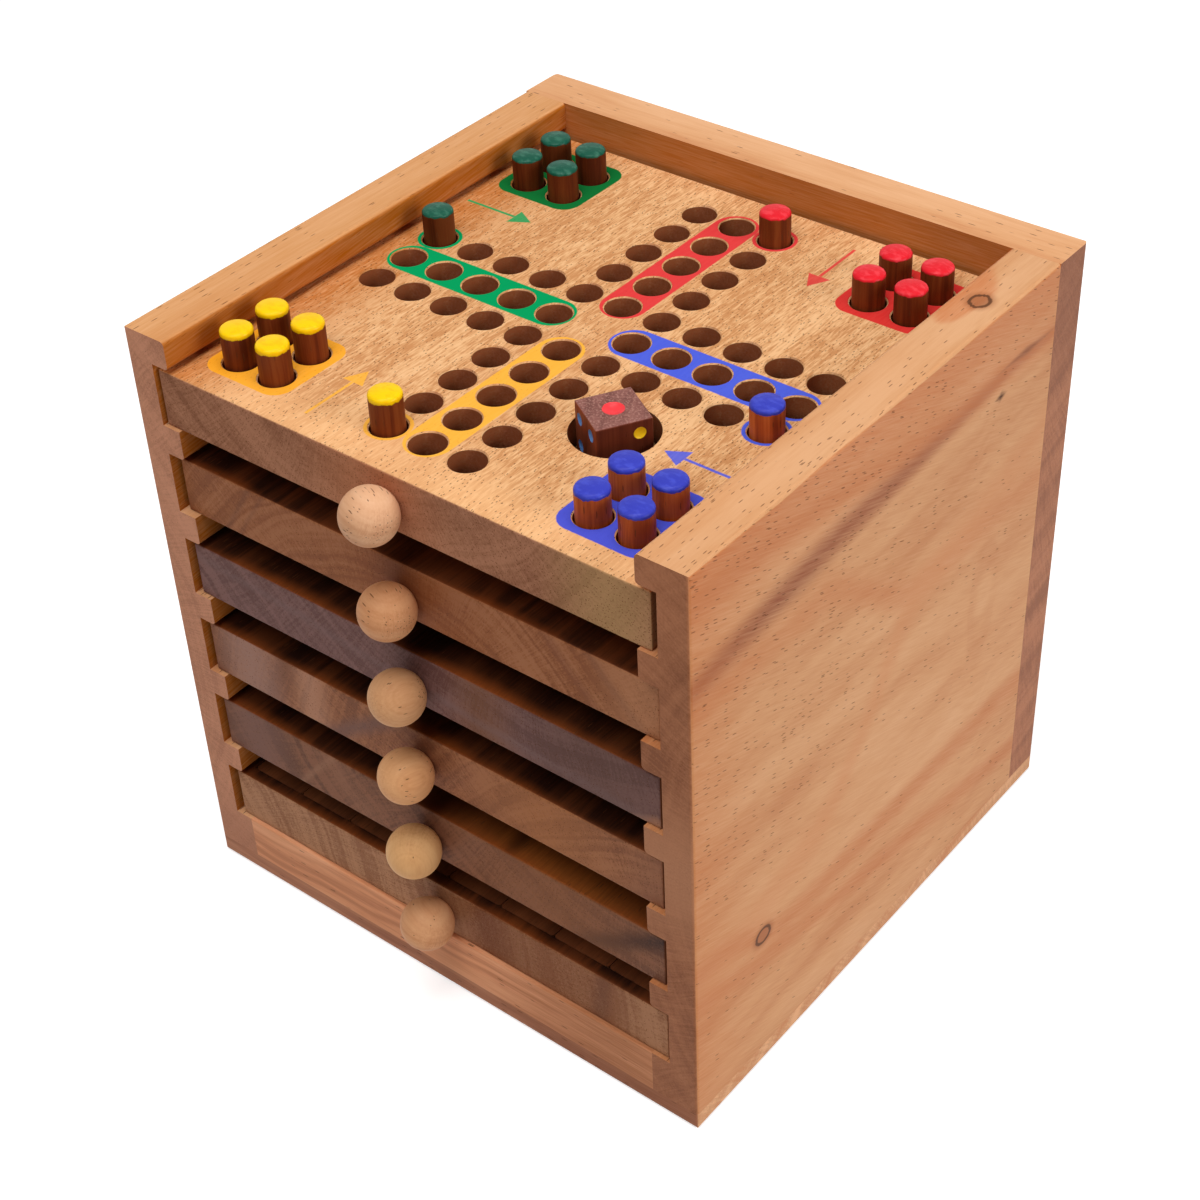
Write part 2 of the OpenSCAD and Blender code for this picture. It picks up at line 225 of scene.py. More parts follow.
def wood(name, along, pith, long_grain, end_grain, broad=12.0, fine=1.8, streaks=0.25, arcs=0.35,
         cloudy=0.8, contrast=1.0, pores=0.22, run=11.0, lean=0.0, stringy=0.6, sheets=(),
         end_sheets=(), knots=(), turned=None, pored=0.75, gleam=0.08, over=None, shine=0.0):
    """Solid wood: its pattern fills the block and shows alike on all the block's faces.

    The grain runs along one axis, and the growth rings lie round a pith given in mm on the
    other two. Each grain has three tones, from sapwood to heartwood. Broad and fine are the
    rings' steps in mm, and streaks and arcs say how plainly they show along the grain and
    across it. Run is how long a fibre is, lean how much the fibres climb on the sides, pores
    how many there are and pored how dark. Sheets lie on the long grain and end sheets on the
    cut ends. A knot is its place along the grain, its place across, its size and the cross
    axis, u or v. Over puts a last layer on: it takes the colour and the spot, and gives the new
    colour and a mask of its film, or None. Gleam and shine are the gloss of wood and film."""
    made = bpy.data.materials.new(name)
    made.use_nodes = True
    tree = made.node_tree
    skin = tree.nodes["Principled BSDF"]
    place = tree.nodes.new("ShaderNodeTexCoord")
    point = Shade(tree, place.outputs["Object"])
    facing = Shade(tree, place.outputs["Normal"])
    if turned:
        centre, angle = turned
        turn = {"rotation_type": "Z_AXIS"}
        point = point.node("ShaderNodeVectorRotate", turn,
                           {"Vector": point, "Center": centre, "Angle": angle})
        facing = point.node("ShaderNodeVectorRotate", turn, {"Vector": facing, "Angle": angle})
    x, y, z = (part * MM for part in point.parts())
    a, u, v = {"x": (x, y, z), "y": (y, x, z), "z": (z, x, y)}[along]

    wander = point.vector(a / WANDER_LONG, u / WANDER_WIDE, v / WANDER_WIDE).noise(out=1).parts()
    swell, shift = wander[0] - 0.5, wander[1] - 0.5
    bent = {"u": u, "v": v}
    for knot_a, knot_b, size, way in knots:
        off_a, off_b = a - knot_a, bent[way] - knot_b
        reach = (off_a * off_a * 0.5 + off_b * off_b) / (size * size * 12.0)
        bent[way] = bent[way] + off_b * reach.rise(1.0, 0.0) * 0.9
    du = bent["u"] + swell * WANDER_FAR - pith[0]
    dv = bent["v"] + shift * WANDER_FAR - pith[1]
    radius = (du * du + dv * dv).root()
    slow = (radius / broad).rings(3.0) - 0.5
    quick = (radius / fine).rings(2.0) - 0.5
    run_v = v
    if lean:
        side_on = facing.parts()["xyz".index(along) - 2].abs().rise(0.85, 0.55)
        run_v = v - a * side_on * lean
    fibre = point.vector(a / run, u / FIBRE_WIDE, run_v / FIBRE_WIDE).noise(3.0, 0.6) - 0.5
    cloud = point.vector(a / CLOUD_LONG, u / CLOUD_WIDE, v / CLOUD_WIDE).noise(3.0, 0.55) - 0.5
    grit = point.vector(*(part / GRIT_WIDE for part in (a, u, v))).noise(2.0, 0.6) - 0.5
    turn_u, turn_v = (part / radius * RAYS_ROUND_PITH for part in (du, dv))
    rays = point.vector(turn_u, turn_v, radius / 8.0).noise(2.0) - 0.5
    cut = facing.parts()["xyz".index(along)].abs().rise(0.55, 0.85)
    base = slow * 1.2 + cloud * cloudy
    with_grain = (base + quick * streaks + fibre * stringy) * contrast + 0.5
    cross_grain = (base + quick * arcs + rays * 0.85 + grit * 0.9) * contrast + 0.5
    along_tone = with_grain.ramp(*zip(TONE_STOPS, long_grain))
    across_tone = cross_grain.ramp(*zip(TONE_STOPS, end_grain))
    colour = cut.mix(along_tone, across_tone)

    layers = [(layer, 1.0 - cut) for layer in sheets] + [(layer, cut) for layer in end_sheets]
    for layer, here in layers:
        apart = layer.distance(x, y + shift * 8.0, z + swell * 4.0)
        mask = (apart / layer.width).abs().rise(1.0, 0.0) * (fibre * 1.4 + 1.0) * layer.strength
        colour = (mask.least(1.0) * here).mix(colour, layer.tone)
    for knot_a, knot_b, size, way in knots:
        off_a, off_b = a - knot_a, {"u": u, "v": v}[way] - knot_b
        apart = (off_a * off_a * 0.7 + off_b * off_b).root() / size + quick * 0.4
        colour = (apart.rise(1.7, 0.7) * 0.75).mix(colour, KNOT_TONE)
        colour = (((apart - 0.85) / 0.22).abs().rise(1.0, 0.35) * 0.9).mix(colour, PORE_TONE)

    pore_place = point.vector(a / (run * 0.4), u / PORE_WIDE, run_v / PORE_WIDE)
    cells = point.node("ShaderNodeTexVoronoi", {}, {"Vector": pore_place, "Scale": 1.0})
    lot = cells.other("Color").parts()[0]
    density = pores(x, y, z) if callable(pores) else pores
    pore = cells.rise(0.26, 0.16) * (cloud * 0.8 - lot + density).rise(0.0, 0.04)
    colour = (pore * pored).mix(colour, PORE_TONE)

    film = None
    if over:
        spot = SimpleNamespace(x=x, y=y, z=z, facing=facing.parts(), fibre=fibre, grit=grit,
                               pore=pore, point=point)
        colour, film = over(colour, spot)
    tree.links.new(skin.inputs["Base Color"], colour.socket)
    dull = fibre * 0.2 + pore * 0.2 + WOOD_DULL
    height = fibre * 0.25 + quick * 0.1 - pore * 0.9
    if film:
        dull = film.rise(0.0, 1.0) * (PAINT_DULL - dull) + dull
        height = height * (1.0 - film * 0.75)
    if film and shine:
        tree.links.new(skin.inputs["Coat Weight"], (film * shine).socket)
        skin.inputs["Coat Roughness"].default_value = 0.28
    tree.links.new(skin.inputs["Roughness"], dull.socket)
    skin.inputs["Specular IOR Level"].default_value = gleam
    relief = {"Height": height, "Strength": 0.4, "Distance": RELIEF_MM / MM}
    bump = height.node("ShaderNodeBump", {}, relief)
    tree.links.new(skin.inputs["Normal"], bump.socket)
    return made


def give(material, *names):
    """Puts one material on the CAD nodes of these names."""
    for name in names:
        mesh = nodes[name].data
        mesh.materials.clear()
        mesh.materials.append(material)


def inner_bounce_glow(axis, sign, deep):
    """Paints bounce light: the face that looks into the case gets a deeper, redder tone."""
    def over(colour, spot):
        inward = (spot.facing[axis] * sign).rise(0.5, 0.9) * (spot.fibre * 0.9 + 0.85)
        return inward.least(1.0).mix(colour, deep), None
    return over


def dark_band(x, y, z):
    """The band of heartwood that bows up over the right panel and narrows to the back."""
    return (z - 131.9 - y * 0.081 + y * y * 0.0006) / (1.0 - y.rise(-20.0, 50.0) * 0.62)


def off_top(z):
    """Keeps a layer of the side off the panel's top edge, by moving it far away there."""
    return z.rise(150.2, 150.8) * 90.0


SAND, TAN, HONEY = (0.80, 0.435, 0.225), (0.72, 0.360, 0.168), (0.62, 0.265, 0.112)
RUST, UMBER = (0.54, 0.185, 0.066), (0.29, 0.100, 0.042)
right_sheets = [
    sheet(dark_band, 6.5, 0.80, (0.278, 0.080, 0.034)),
    sheet(lambda x, y, z: z - 152.0 - off_top(z), 28.0, 0.60, (0.570, 0.168, 0.054)),
    sheet(lambda x, y, z: y + 78.0 + off_top(z), 36.0, 0.45, (0.540, 0.155, 0.040)),
    sheet(lambda x, y, z: z - 142.5 + y.rise(-60.0, 30.0) * 8.0, 5.5, 0.70, RUST),
    sheet(lambda x, y, z: z - 153.0, 3.0, 0.35, (0.74, 0.330, 0.125)),
    sheet(lambda x, y, z: z - 118.0 + y.rise(-30.0, 10.0) * 20.0, 8.0, 0.50, RUST),
    sheet(lambda x, y, z: z - 93.0 - y * 0.30 + y.rise(10.0, -30.0) * 30.0, 10.0, 0.55, HONEY),
    sheet(lambda x, y, z: z - 24.7 + y * 0.165 - y * y * 0.00046, 5.5, 0.60, RUST),
    sheet(lambda x, y, z: z - 47.6 + y.rise(-66.0, -36.0) * 10.0, 6.5, 0.60, RUST),
    sheet(lambda x, y, z: (z - 135.4).abs() + (y - 47.0).abs() * 0.10, 1.6, 0.95, UMBER),
    sheet(lambda x, y, z: (z - 129.5).abs() + (y - 37.7).abs() * 0.5, 1.7, 0.95, PORE_TONE),
    sheet(lambda x, y, z: z - 4.6, 1.1, 0.55, RUST),
]


def right_pores(x, y, z):
    """The right panel's pores: thickest at its upper front, thin at its lower back."""
    return y.rise(30.0, -25.0) * z.rise(50.0, 85.0) * 0.38 + z.rise(118.0, 135.0) * 0.12 + 0.14


give(wood("right_side_wood", "y", (150.0, 74.0),
          ((0.715, 0.385, 0.196), (0.645, 0.320, 0.147), (0.555, 0.236, 0.098)),
          ((0.425, 0.165, 0.076), (0.345, 0.128, 0.056), (0.245, 0.084, 0.035)), broad=20.0,
          cloudy=1.0, contrast=0.85, arcs=0.45, pores=right_pores, pored=0.65, run=8.0, lean=-0.35,
          sheets=right_sheets,
          end_sheets=[sheet(lambda x, y, z: z - 75.0, 28.0, 0.8, (0.48, 0.208, 0.104))],
          knots=[(-47.2, 40.4, 2.4, "v"), (36.7, 66.3, 2.4, "u")]),
     "right_side_panel")
left_sheets = [
    sheet(lambda x, y, z: z - 98.0, 9.0, 0.55, (0.80, 0.43, 0.25)),
    sheet(lambda x, y, z: z - 152.0, 4.0, 0.60, (0.61, 0.270, 0.080)),
    sheet(lambda x, y, z: z - 55.0 - y * 0.12, 7.0, 0.50, RUST),
]
give(wood("left_side_wood", "y", (-140.0, 60.0), (SAND, TAN, HONEY),
          ((0.63, 0.278, 0.158), (0.56, 0.240, 0.132), (0.45, 0.185, 0.100)), broad=16.0,
          pores=0.34, arcs=0.45, lean=0.1, sheets=left_sheets,
          end_sheets=[sheet(lambda x, y, z: z - 10.0, 16.0, 0.5, (0.42, 0.170, 0.090))],
          # Painted bounce light on the face that looks into the case.
          over=inner_bounce_glow(0, 1.0, (0.44, 0.117, 0.005))),
     "left_side_panel")

# Back panel
# One board glued over the rear ends of the side panels. Its grain runs across the cabinet, so
# its darker end grain shows on both sides.
give(wood("back_panel_wood", "x", (30.0, 190.0), (SAND, TAN, HONEY),
          ((0.44, 0.175, 0.086), (0.37, 0.140, 0.067), (0.28, 0.102, 0.048)), broad=10.0,
          end_sheets=[sheet(lambda x, y, z: z - 150.0, 46.0, 0.50, (0.190, 0.066, 0.034))],
          # Painted bounce light on the face that looks into the case.
          over=inner_bounce_glow(1, -1.0, (0.50, 0.158, 0.029))),
     "back_panel")

# Base board and bottom plate
# The base board lies between the side panels and shows its long grain at the front. The plate
# under it closes the whole case, a shade darker at the front and pale at its ends.
give(wood("base_board_wood", "x", (60.0, -70.0),
          ((0.88, 0.420, 0.224), (0.765, 0.330, 0.162), (0.59, 0.229, 0.105)), (TAN, HONEY, RUST),
          broad=4.0, fine=1.2, streaks=0.8, pores=0.18,
          sheets=[sheet(lambda x, y, z: x - 50.0, 44.0, 0.70, (0.40, 0.150, 0.060))]),
     "base_board")
give(wood("bottom_plate_wood", "x", (60.0, -90.0),
          ((0.58, 0.26, 0.140), (0.47, 0.190, 0.100), (0.36, 0.135, 0.070)),
          (SAND, (0.66, 0.34, 0.17), HONEY), broad=5.0, streaks=0.4,
          sheets=[sheet(lambda x, y, z: x - 55.0, 60.0, 0.70, (0.28, 0.094, 0.039))]),
     "bottom_plate")

# Ludo tray
# The playing board: drilled, then printed with each side's home strip, start, yard and arrow,
# the yards darker. The print stays off the holes, so their eased mouths are bare wood.
board_low, board_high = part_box("ludo_tray")
board_x = (board_low[0] + board_high[0]) * MM / 2
board_y = (board_low[1] + board_high[1]) * MM / 2
board_top = board_high[2] * MM
BOARD_EDGE = 12.2
STEP = ((board_high[1] - board_low[1]) * MM - 2 * BOARD_EDGE) / 10
STRIP_HALF = 5.33
START_HALF = 5.07
YARD_HALF, YARD_CORNER = 11.4, 4.35
ARROW_X, ARROW_FOOT, ARROW_NECK, ARROW_TIP = -27.2, -58.1, -44.3, -39.4
SHAFT_HALF, HEAD_HALF = 0.36, 2.75
SIDE_PAINTS = {
    "yellow": ((0.98, 0.46, 0.045), (0.97, 0.40, 0.016), 0.93, lambda x, y: (x, y)),
    "green": ((0.003, 0.330, 0.104), (0.007, 0.155, 0.032), 1.0, lambda x, y: (-y, x)),
    "red": ((0.76, 0.040, 0.048), (0.70, 0.022, 0.026), 0.97, lambda x, y: (-x, -y)),
    "blue": ((0.052, 0.110, 0.72), (0.045, 0.080, 0.66), 0.97, lambda x, y: (y, -x)),
}
# Painted shade inside the holes and, deepest, inside the die's well.
HOLE_SHADE, WELL_SHADE = (0.33, 0.092, 0.034), (0.045, 0.014, 0.007)
# Painted shade on the trays' sides.
SIDE_SHADE_TONE = (0.13, 0.048, 0.020)
UNCUT_EDGE = 3.0


def shade_in_cuts(colour, spot, top, low_corner, high_corner):
    """Paints shade into what is drilled or cut in a board's top, darker the deeper it lies."""
    inside = (spot.z - top).rise(-0.32, -0.5)
    for value, low, high in zip((spot.x, spot.y), low_corner, high_corner):
        for from_edge in (value - low * MM, high * MM - value):
            inside = inside * from_edge.rise(UNCUT_EDGE, UNCUT_EDGE + 0.2)
    underside = (spot.z - low_corner[2] * MM).rise(0.5, 1.0)
    cut_shade = (spot.z - top).rise(-3.0, -7.0).mix(HOLE_SHADE, WELL_SHADE)
    shade_mottle = spot.grit * 0.5 + spot.fibre * 0.7 + 0.85
    return (inside * underside * shade_mottle).least(1.0).most(0.0).mix(colour, cut_shade)


def printed_side(px, py):
    """How far a spot lies outside one side's strip and start, its yard, and its arrow.

    The distances are in mm, negative inside. A side is laid out as the yellow one, whose strip
    runs to the front, and the paints' last entry turns the others to it."""
    strip_mid, strip_run = -3 * STEP, 2 * STEP - 0.55
    strip_y = ((py - strip_mid).abs() - strip_run).most(0.0)
    strip = (px * px + strip_y * strip_y).root() - STRIP_HALF
    start_x, start_y = px + STEP, py + 5 * STEP
    start = (start_x * start_x + start_y * start_y).root() - START_HALF
    yard_x = ((px + 4.5 * STEP).abs() - (YARD_HALF - YARD_CORNER)).most(0.0)
    yard_y = ((py + 4.5 * STEP).abs() - (YARD_HALF - YARD_CORNER)).most(0.0)
    yard = (yard_x * yard_x + yard_y * yard_y).root() - YARD_CORNER
    across = (px - ARROW_X).abs()
    mid, half = (ARROW_FOOT + ARROW_NECK) / 2, (ARROW_NECK - ARROW_FOOT) / 2
    shaft = (across - SHAFT_HALF).most((py - mid).abs() - half)
    slope = HEAD_HALF / (ARROW_TIP - ARROW_NECK)
    head = (across + (py - ARROW_TIP) * slope).most(ARROW_NECK - py)
    return strip.least(start), yard, shaft.least(head)


def shade_tray_sides(colour, spot):
    """Paints shade on a tray's two sides, which lie in the dark grooves they slide in."""
    return (spot.facing[0].abs().rise(0.6, 0.9) * 0.8).mix(colour, SIDE_SHADE_TONE)


def ludo_print(colour, spot):
    """The board's layers: painted shade on its sides, then in its holes and well, then the print.
    """
    colour = shade_in_cuts(shade_tray_sides(colour, spot), spot, board_top, board_low, board_high)
    ragged = spot.point.vector(spot.x / 0.8, spot.y / 0.8, 0.0).noise(2.0) - 0.5
    flat = (spot.z - board_top).rise(-0.05, -0.02)
    film = None
    for strip_tone, yard_tone, cover, face in SIDE_PAINTS.values():
        px, py = face(spot.x - board_x, spot.y - board_y)
        fields, yard, arrow = printed_side(px, py)
        worn = (spot.fibre * 0.5 + 0.5 + spot.pore * 2.0) * (1.0 - cover)
        for outline, tone, thickness in ((fields, strip_tone, cover), (yard, yard_tone, cover),
                                         (arrow, strip_tone, cover * 0.92)):
            mask = (outline + ragged * 0.22).rise(0.12, -0.12) * flat * (thickness - worn)
            colour = mask.mix(colour, tone)
            film = mask if film is None else film.most(mask)
    return colour, film


board_sheets = [
    sheet(lambda x, y, z: y + 66.0, 14.0, 0.45, (0.97, 0.53, 0.245)),
    sheet(lambda x, y, z: x - 4.0 - y * 0.08, 16.0, 0.25, (0.64, 0.28, 0.11)),
    sheet(lambda x, y, z: x + 58.0 - y * 0.05, 24.0, 0.75, (0.49, 0.155, 0.032)),
    sheet(lambda x, y, z: x + y - 122.0, 34.0, 0.50, (0.52, 0.245, 0.105)),
]
front_sheets = [
    sheet(lambda x, y, z: x + 5.0, 24.0, 0.55, (0.60, 0.226, 0.106)),
    sheet(lambda x, y, z: x - 54.0, 20.0, 0.60, (0.50, 0.305, 0.131)),
]
give(wood("ludo_board_wood", "y", (-5.0, 181.0),
          ((0.86, 0.500, 0.248), (0.75, 0.398, 0.180), (0.60, 0.272, 0.108)),
          ((0.460, 0.210, 0.120), (0.385, 0.170, 0.095), (0.285, 0.120, 0.066)), broad=10.0,
          fine=1.6, arcs=0.5, cloudy=0.7, pores=0.80, pored=0.7, run=3.2, stringy=2.4, gleam=0.0,
          sheets=board_sheets, end_sheets=front_sheets, over=ludo_print), "ludo_tray")

# Hidden trays
# Five more boards of darker heartwood, each from another plank. Their deep brown tops are
# painted shade, for the narrow gaps between the trays, with painted reddish light at the front
# edge; their end grain at the front shows the growth rings in greyed browns.
SHADED_TOP_TONES = ((0.105, 0.028, 0.009), (0.055, 0.015, 0.006), (0.022, 0.007, 0.004))
# A strip of painted light reddening each top's front edge.
lit_front_strip = sheet(lambda x, y, z: y + 71.5, 5.0, 0.75, (0.26, 0.060, 0.011))
top_sheets = {"noughts_tray": [
    sheet(lambda x, y, z: x - 34.0, 46.0, 0.85, (0.30, 0.082, 0.015)),
    sheet(lambda x, y, z: x - 22.0, 3.0, 0.70, (0.05, 0.014, 0.005)),
]}
front_tones = {
    "solitaire_tray": ((0.380, 0.146, 0.063), (0.322, 0.114, 0.045), (0.250, 0.083, 0.032)),
    "morris_tray": ((0.226, 0.112, 0.096), (0.186, 0.090, 0.078), (0.138, 0.062, 0.054)),
    "draughts_tray": ((0.375, 0.150, 0.070), (0.295, 0.112, 0.052), (0.215, 0.080, 0.039)),
    "noughts_tray": ((0.262, 0.108, 0.058), (0.215, 0.088, 0.047), (0.152, 0.060, 0.034)),
    "domino_tray": ((0.470, 0.226, 0.115), (0.405, 0.188, 0.093), (0.308, 0.128, 0.060)),
}
tray_piths = {
    "solitaire_tray": (-5.0, 73.0), "morris_tray": (30.0, 160.0), "draughts_tray": (70.0, 20.0),
    "noughts_tray": (60.0, 110.0), "domino_tray": (-90.0, 10.0),
}
tray_sheets = {
    "solitaire_tray": [
        sheet(lambda x, y, z: x - 2.0, 26.0, 0.60, (0.248, 0.072, 0.024)),
        sheet(lambda x, y, z: x + 48.0 - (z - 113.0) * 0.7, 1.5, 0.45, (0.17, 0.065, 0.035)),
        sheet(lambda x, y, z: x + 44.0 - (z - 113.0) * 0.7, 1.2, 0.35, (0.17, 0.065, 0.035)),
        sheet(lambda x, y, z: x - 54.0 + (z - 113.0) * 0.9, 3.0, 0.45, (0.20, 0.078, 0.042)),
        sheet(lambda x, y, z: x - 43.0 + (z - 113.0) * 0.9, 3.0, 0.35, (0.22, 0.080, 0.042)),
        sheet(lambda x, y, z: x - 62.0, 18.0, 0.50, (0.52, 0.235, 0.115)),
    ],
    "morris_tray": [
        sheet(lambda x, y, z: x - 48.0, 34.0, 0.55, (0.106, 0.050, 0.036)),
        # A darker brown-orange stripe: partly the plank's own tone, partly painted shadow of the
        # knob.
        sheet(lambda x, y, z: x - 18.0, 13.0, 0.55, (0.195, 0.071, 0.024)),
        sheet(lambda x, y, z: (x - 63.0).abs() * 0.4 + (z - 84.0).abs(), 4.0, 0.85,
              (0.62, 0.285, 0.135)),
        sheet(lambda x, y, z: z - 88.0 + (x - 20.0) * 0.08, 2.2, 0.35, (0.20, 0.118, 0.108)),
    ],
    "draughts_tray": [
        sheet(lambda x, y, z: x + 52.0, 15.0, 0.75, (0.37, 0.205, 0.160)),
        sheet(lambda x, y, z: x + 33.0, 8.0, 0.60, (0.52, 0.262, 0.165)),
        sheet(lambda x, y, z: x + 16.6 - (z - 69.0) * 1.33, 6.5, 0.90, (0.20, 0.095, 0.070)),
        sheet(lambda x, y, z: z - 62.0 - (x - 40.0) * (x - 40.0) * 0.006, 2.0, 0.40,
              (0.26, 0.10, 0.048)),
        sheet(lambda x, y, z: x - 34.0, 26.0, 0.60, (0.410, 0.152, 0.053)),
        sheet(lambda x, y, z: x - 64.0, 12.0, 0.60, (0.288, 0.117, 0.062)),
    ],
    "noughts_tray": [
        sheet(lambda x, y, z: x + 54.0, 15.0, 0.75, (0.206, 0.100, 0.078)),
        sheet(lambda x, y, z: x + 35.0 - (z - 46.0) * 0.9, 2.2, 0.50, (0.37, 0.175, 0.100)),
        sheet(lambda x, y, z: x + 25.0 + (z - 46.0) * 0.8, 9.0, 0.40, (0.34, 0.150, 0.084)),
        sheet(lambda x, y, z: z - 47.5 - (x - 56.0) * 0.60, 5.0, 0.90, (0.040, 0.018, 0.014)),
        sheet(lambda x, y, z: x - 34.0, 34.0, 0.60, (0.280, 0.100, 0.037)),
    ],
    "domino_tray": [
        sheet(lambda x, y, z: x - 15.0, 14.0, 0.85, (0.135, 0.034, 0.010)),
        sheet(lambda x, y, z: x - 34.0, 38.0, 0.78, (0.218, 0.070, 0.025)),
        sheet(lambda x, y, z: x - 46.5 - (z - 24.0) * 0.15, 4.5, 0.65, (0.16, 0.055, 0.026)),
    ],
}


def cut_board(name):
    """The last layer of a hidden tray: painted shade on its sides and in what is cut into it."""
    low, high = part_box(name)
    return lambda colour, spot: (shade_in_cuts(shade_tray_sides(colour, spot), spot, high[2] * MM, low, high), None)


for name, tones in front_tones.items():
    give(wood(name.replace("tray", "board_wood"), "y", tray_piths[name], SHADED_TOP_TONES, tones,
              broad=9.0, fine=1.6, arcs=0.75, streaks=0.5, contrast=1.2, gleam=0.06,
              sheets=top_sheets.get(name, []) + [lit_front_strip], end_sheets=tray_sheets[name],
              over=cut_board(name)), name)

# Knobs
# Six balls turned from a pale wood, each with its own figure. Dark pores lie along the grain
# as dashes where it is cut lengthwise and as dots where it is cut across.
KNOB_TURN = 0.35
MIDDLE_SHARE, DEEP_SHARE = (0.94, 0.88, 0.84), (0.84, 0.72, 0.64)
knob_figures = [
    ("x", (0.765, 0.440, 0.255), 0.46), ("x", (0.720, 0.360, 0.176), 0.46),
    ("y", (0.735, 0.402, 0.200), 0.36), ("y", (0.820, 0.435, 0.205), 0.26),
    ("z", (0.820, 0.470, 0.210), 0.05), ("x", (0.760, 0.395, 0.200), 0.08),
]
for number, (along, pale, pores) in enumerate(knob_figures, 1):
    low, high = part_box("knob_%d" % number)
    pith = {"x": (-70.0, high[2] * MM + 20.0), "y": (12.0, high[2] * MM), "z": (20.0, -90.0)}[along]
    centre = tuple((low[axis] + high[axis]) / 2 for axis in range(3))
    middle = tuple(part * share for part, share in zip(pale, MIDDLE_SHARE))
    deep = tuple(part * share for part, share in zip(pale, DEEP_SHARE))
    give(wood("knob_wood_%d" % number, along, pith, (pale, middle, deep), (pale, middle, deep),
              broad=4.0, fine=1.1, streaks=0.5, pores=pores, run=15.0, turned=(centre, KNOB_TURN)),
         "knob_%d" % number)

# Ludo pegs
# Twenty turned pegs of dark red-brown wood. Their domed tops are dipped in a glossy paint,
# which laps down the side and ends in an uneven line.
PEG_TONES = ((0.42, 0.100, 0.024), (0.33, 0.064, 0.015), (0.20, 0.035, 0.010))
PEG_ENDS = ((0.26, 0.11, 0.055), (0.19, 0.075, 0.036), (0.11, 0.040, 0.020))
DRIP = 0.9
DIPS = {
    # Second tones mottle the paint: brush marks on yellow and green, painted sheen on red and blue.
    "yellow": ((0.98, 0.60, 0.001), (0.95, 0.50, 0.001), 1.55, 0.52),
    "green": ((0.003, 0.080, 0.046), (0.04, 0.165, 0.105), 1.05, 0.34),
    "red": ((0.76, 0.012, 0.023), (0.88, 0.060, 0.078), 1.05, 0.54),
    "blue": ((0.036, 0.046, 0.44), (0.06, 0.080, 0.56), 1.40, 1.30),
}


def dipped(side, tone, dapple_and_sheen, lap):
    """A side's peg paint: its tone, a mottle of thin paint and painted sheen, how far it laps."""
    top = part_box(side + "_peg_1")[1][2] * MM

    def coat(colour, spot):
        ragged = spot.point.vector(spot.x / 1.6, spot.y / 1.6, spot.z / 3.0).noise(2.0) - 0.5
        above_line = spot.z - (top - lap) + ragged * DRIP
        film = (above_line + spot.fibre * 0.4).rise(-0.08, 0.08)
        brushed = spot.point.vector(spot.x / 2.0, spot.y / 1.2, spot.z / 1.6).noise(2.0)
        painted = (brushed.rise(0.45, 0.70) * 0.7).mix(tone, dapple_and_sheen)
        rim = above_line.rise(0.45, 0.05) * 0.35
        painted = rim.mix(painted, tuple(part * 0.45 for part in tone))
        return film.mix(colour, painted), film
    return coat


for side, (tone, dapple_and_sheen, lap, paleness) in DIPS.items():
    tones = [tuple(part * paleness for part in grain) for grain in PEG_TONES]
    material = wood("ludo_peg_" + side, "z", (0.0, -6.2), tones, PEG_ENDS, broad=3.0, fine=0.8,
                    contrast=1.2, pores=0.30, over=dipped(side, tone, dapple_and_sheen, lap), shine=0.1)
    give(material, *("%s_peg_%d" % (side, number) for number in range(1, 6)))

# Die
# A cube of the same dark wood with drilled and painted pips: one on top, two to the right and
# four in front. It lies turned in its well, so its pattern is turned with it.
die_low, die_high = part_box("die")
die_centre = tuple((low + high) / 2 for low, high in zip(die_low, die_high))
DIE_TURN = math.radians(31.0)
DIE_HALF = (die_high[2] - die_low[2]) * MM / 2
PIP_STEP = 2 * DIE_HALF * 0.26
PIP_R, ACE_R = 1.32, 2.28
SPECK, SPECK_TONE, SHADE_TONE = 0.5, (0.44, 0.23, 0.18), (0.058, 0.009, 0.004)
PAIR = [(-1, -1), (1, 1)]
CORNERS = [(-1, -1), (-1, 1), (1, -1), (1, 1)]
PIP_RED, PIP_YELLOW, PIP_BLUE = (0.90, 0.045, 0.055), (0.86, 0.55, 0.010), (0.10, 0.26, 0.60)
PIP_GREEN = (0.01, 0.22, 0.07)


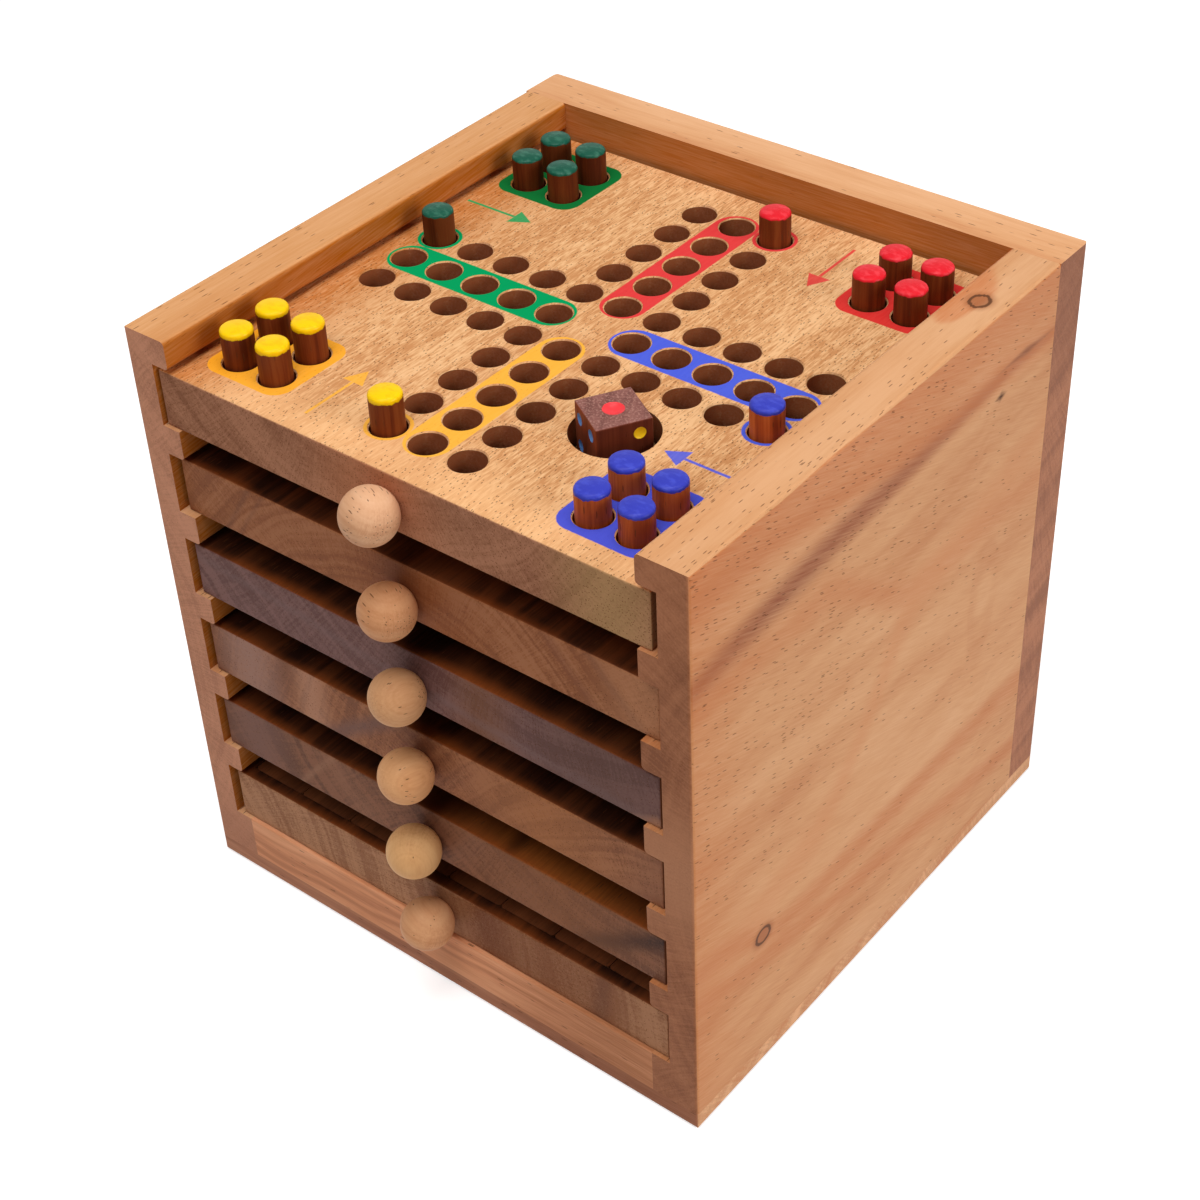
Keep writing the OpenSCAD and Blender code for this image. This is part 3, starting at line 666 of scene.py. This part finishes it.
def pips(colour, spot):
    """Speckles the die's top end grain, paints shade on its right face and paints the pips.

    A face is an axis and a side of it, and its pips lie on the other two."""
    specks = spot.point.vector(*(part / SPECK for part in (spot.x, spot.y, spot.z))).noise(1.0)
    upward = spot.facing[2].rise(0.6, 0.9)
    colour = (specks.rise(0.50, 0.66) * upward * 0.55).mix(colour, SPECK_TONE)
    # Painted shade on the die's right face.
    colour = (spot.facing[0].rise(0.6, 0.9) * 0.7).mix(colour, SHADE_TONE)
    place = [value - middle * MM for value, middle in zip((spot.x, spot.y, spot.z), die_centre)]
    faces = [
        (2, 1.0, [(0, 0)], ACE_R, PIP_RED), (0, 1.0, PAIR, PIP_R, PIP_YELLOW),
        (1, 1.0, PAIR + [(0, 0)], PIP_R, PIP_GREEN), (1, -1.0, CORNERS, PIP_R, PIP_BLUE),
        (0, -1.0, CORNERS + [(0, 0)], PIP_R, PIP_GREEN),
        (2, -1.0, CORNERS + [(-1, 0), (1, 0)], PIP_R, PIP_YELLOW),
    ]
    film = None
    for axis, sign, spots, radius, tone in faces:
        first, second = (place[other] for other in range(3) if other != axis)
        near = None
        for across, up in spots:
            off_a, off_b = first - across * PIP_STEP, second - up * PIP_STEP
            apart = (off_a * off_a + off_b * off_b).root() - radius
            near = apart if near is None else near.least(apart)
        on_face = (place[axis] * sign - DIE_HALF).rise(-1.0, -0.8)
        mask = (near + spot.fibre * 0.3).rise(0.08, -0.08) * on_face
        colour = (mask * 0.95).mix(colour, tone)
        film = mask if film is None else film.most(mask)
    return colour, film


give(wood("die_wood", "z", (60.0, 30.0),
          ((0.27, 0.062, 0.025), (0.20, 0.043, 0.017), (0.12, 0.025, 0.011)),
          ((0.29, 0.122, 0.098), (0.23, 0.088, 0.072), (0.16, 0.060, 0.048)), broad=3.0, fine=0.9,
          streaks=0.5, pores=0.2, turned=(die_centre, DIE_TURN), over=pips, shine=0.1), "die")

# Pegs of the hidden trays
# Turned like the ludo pegs, but only oiled: pale ones and dark ones for the two players.
give(wood("pale_peg_wood", "z", (0.0, 0.0),
          ((0.80, 0.52, 0.30), (0.70, 0.42, 0.22), (0.56, 0.30, 0.15)),
          ((0.62, 0.38, 0.21), (0.52, 0.30, 0.16), (0.40, 0.21, 0.11)), broad=3.0, fine=0.8),
     "solitaire_pegs", "morris_pegs_light", "draughts_pegs_light", "noughts_pegs")
give(wood("dark_peg_wood", "z", (0.0, 0.0), PEG_TONES, PEG_ENDS, broad=3.0, fine=0.8),
     "morris_pegs_dark", "draughts_pegs_dark", "crosses_pegs")


# Dominoes
# Twenty-eight tiles of dark red-brown wood in four rows, with cream paint in their drilled
# pips and in the line across the middle.
PIP_CREAM = (0.80, 0.70, 0.50)


def inked(colour, spot):
    """Paint lies on the floors of the pips and the line, a little below the tiles' tops."""
    below = spot.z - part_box("dominoes_row_1")[1][2] * MM
    film = below.rise(-0.05, -0.15) * below.rise(-0.75, -0.6) * spot.facing[2].rise(0.3, 0.7)
    return film.mix(colour, PIP_CREAM), film


give(wood("domino_wood", "y", (0.0, -40.0),
          ((0.26, 0.080, 0.028), (0.18, 0.055, 0.020), (0.10, 0.030, 0.012)),
          ((0.24, 0.085, 0.038), (0.17, 0.060, 0.027), (0.10, 0.036, 0.017)), broad=8.0,
          pores=0.15, over=inked), *("dominoes_row_%d" % row for row in range(1, 5)))
